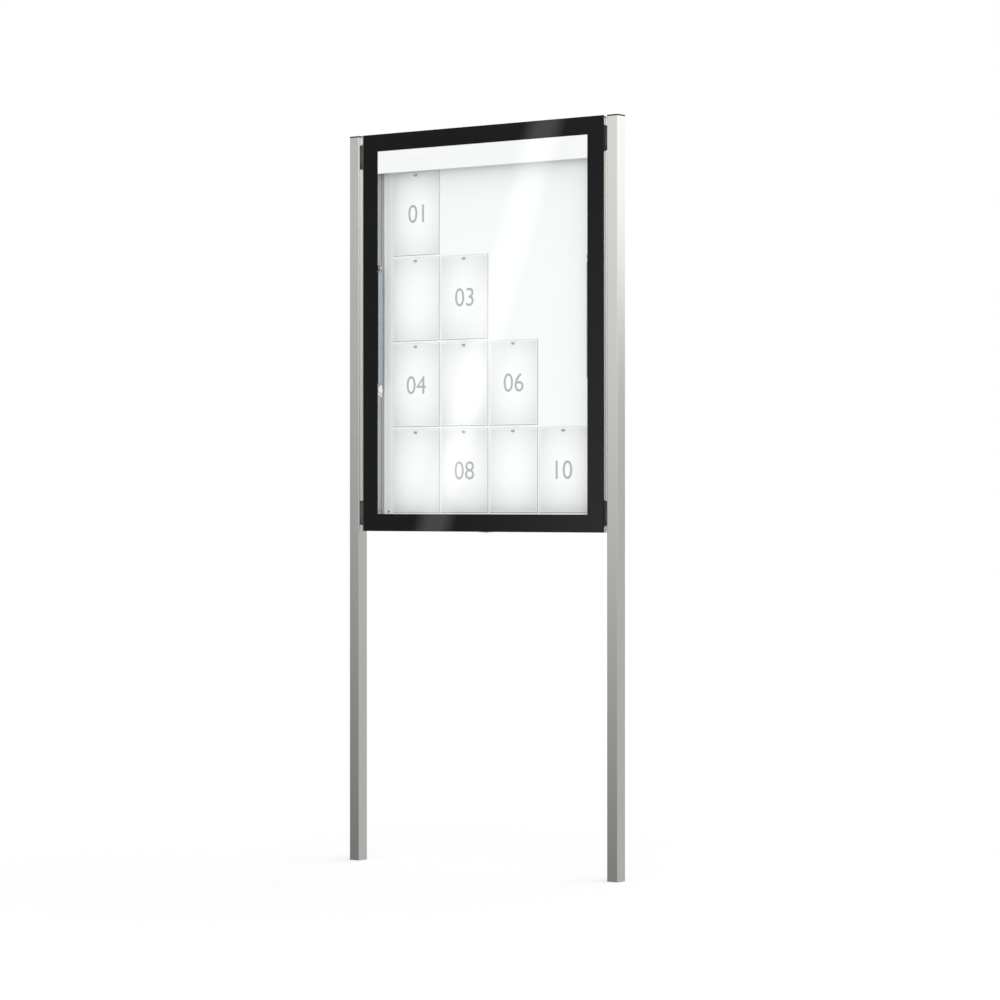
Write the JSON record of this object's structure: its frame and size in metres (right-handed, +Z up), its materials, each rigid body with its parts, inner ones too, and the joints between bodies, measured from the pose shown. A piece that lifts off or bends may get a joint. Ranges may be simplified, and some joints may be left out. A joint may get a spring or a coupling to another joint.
{
  "type": "lockable notice board",
  "caption": "Lockable outdoor notice board: a shallow aluminium case on two posts, with a glass flap on gas struts over a magnetic panel.",
  "frame": {"origin": "on the ground, midway between the posts, at the middle of the case's depth", "axes": "+Z up, +X to the right as a reader sees the board, -Y out of the glass towards the reader"},
  "size_m": [1.174, 0.06, 2.59],
  "materials": {
    "satin_aluminium": "satin, clear anodised",
    "raw_aluminium": "as cast",
    "black_plastic": "matt",
    "grey_plastic": "matt",
    "white_plastic": "matt",
    "white_enamelled_steel": "semi-gloss enamel",
    "white_header": "matt",
    "notice_paper": "matt",
    "safety_glass": "clear",
    "black_glass_print": "gloss, seen through the glass",
    "black_foam_tape": "matt",
    "black_rubber": "matt",
    "nickel_magnet": "nickel plated",
    "zinc_steel": "zinc plated",
    "brushed_steel": "brushed",
    "stainless_tube": "satin",
    "polished_rod": "polished",
    "light_bracket_paint": "powder coat",
    "chromed_lock": "polished"
  },
  "bodies": {
    "case": {"access_plugs": "grey_plastic", "bracket_screws": "zinc_steel", "case_bottom_profile": "satin_aluminium", "case_corner_cleats": "raw_aluminium", "case_left_profile": "satin_aluminium", "case_right_profile": "satin_aluminium", "case_top_profile": "satin_aluminium", "door_seal": "black_rubber", "left_post": "satin_aluminium", "left_post_cap": "black_plastic", "left_strut_bracket": "light_bracket_paint", "lock_housing": "chromed_lock", "lock_screws": "zinc_steel", "magnets": "nickel_magnet", "notice_row1_col1": "notice_paper", "notice_row2_col1": "notice_paper", "notice_row2_col2": "notice_paper", "notice_row3_col1": "notice_paper", "notice_row3_col2": "notice_paper", "notice_row3_col3": "notice_paper", "notice_row4_col1": "notice_paper", "notice_row4_col2": "notice_paper", "notice_row4_col3": "notice_paper", "notice_row4_col4": "notice_paper", "post_bolts": "zinc_steel", "post_rivet_nuts": "zinc_steel", "post_spacers": "black_plastic", "rear_panel": "white_enamelled_steel", "rear_panel_screws": "zinc_steel", "rear_panel_trim": "white_plastic", "right_post": "satin_aluminium", "right_post_cap": "black_plastic", "right_strut_bracket": "light_bracket_paint"},
    "door": {"door_glass": "safety_glass", "printed_border": "black_glass_print", "glazing_tape": "black_foam_tape", "header_panel": "white_header", "door_top_rail": "satin_aluminium", "door_bottom_rail": "satin_aluminium", "door_left_rail": "satin_aluminium", "door_right_rail": "satin_aluminium", "door_corner_cleats": "raw_aluminium", "left_strut_pin": "brushed_steel", "right_strut_pin": "brushed_steel", "pin_rivets": "raw_aluminium", "lock_keeper": "brushed_steel"},
    "left_strut_tube": {"left_strut_tube": "stainless_tube"},
    "left_strut_rod": {"left_strut_rod": "polished_rod"},
    "right_strut_tube": {"right_strut_tube": "stainless_tube"},
    "right_strut_rod": {"right_strut_rod": "polished_rod"},
    "lock": {"lock_plug": "chromed_lock", "lock_cam": "zinc_steel", "cam_screw": "zinc_steel"}
  },
  "joints": [
    {"name": "door_flap", "type": "hinge", "parent": "case", "child": "door", "pos_m": [0, -0.0095, 2.5835], "axis": [-1, 0, 0], "range_deg": [0, 60]},
    {"name": "left_strut_swing", "type": "hinge", "parent": "door", "child": "left_strut_tube", "pos_m": [-0.4585, -0.014, 2.115], "axis": [1, 0, 0], "range_deg": [0, 91]},
    {"name": "left_strut_stroke", "type": "slide", "parent": "left_strut_tube", "child": "left_strut_rod", "axis": [0, 0, -1], "range_m": [0, 0.35]},
    {"name": "right_strut_swing", "type": "hinge", "parent": "door", "child": "right_strut_tube", "pos_m": [0.4585, -0.014, 2.115], "axis": [1, 0, 0], "range_deg": [0, 91]},
    {"name": "right_strut_stroke", "type": "slide", "parent": "right_strut_tube", "child": "right_strut_rod", "axis": [0, 0, -1], "range_m": [0, 0.35]},
    {"name": "lock_turn", "type": "hinge", "parent": "case", "child": "lock", "pos_m": [0, 0.008, 1.178], "axis": [0, 0, 1], "range_deg": [0, 90]}
  ],
  "couplings": [
    {"joint": "left_strut_swing", "follows": "door_flap", "ratio": 1.5144},
    {"joint": "left_strut_stroke", "follows": "door_flap", "m_per_rad": 0.33377},
    {"joint": "right_strut_swing", "follows": "door_flap", "ratio": 1.5144},
    {"joint": "right_strut_stroke", "follows": "door_flap", "m_per_rad": 0.33377}
  ]
}
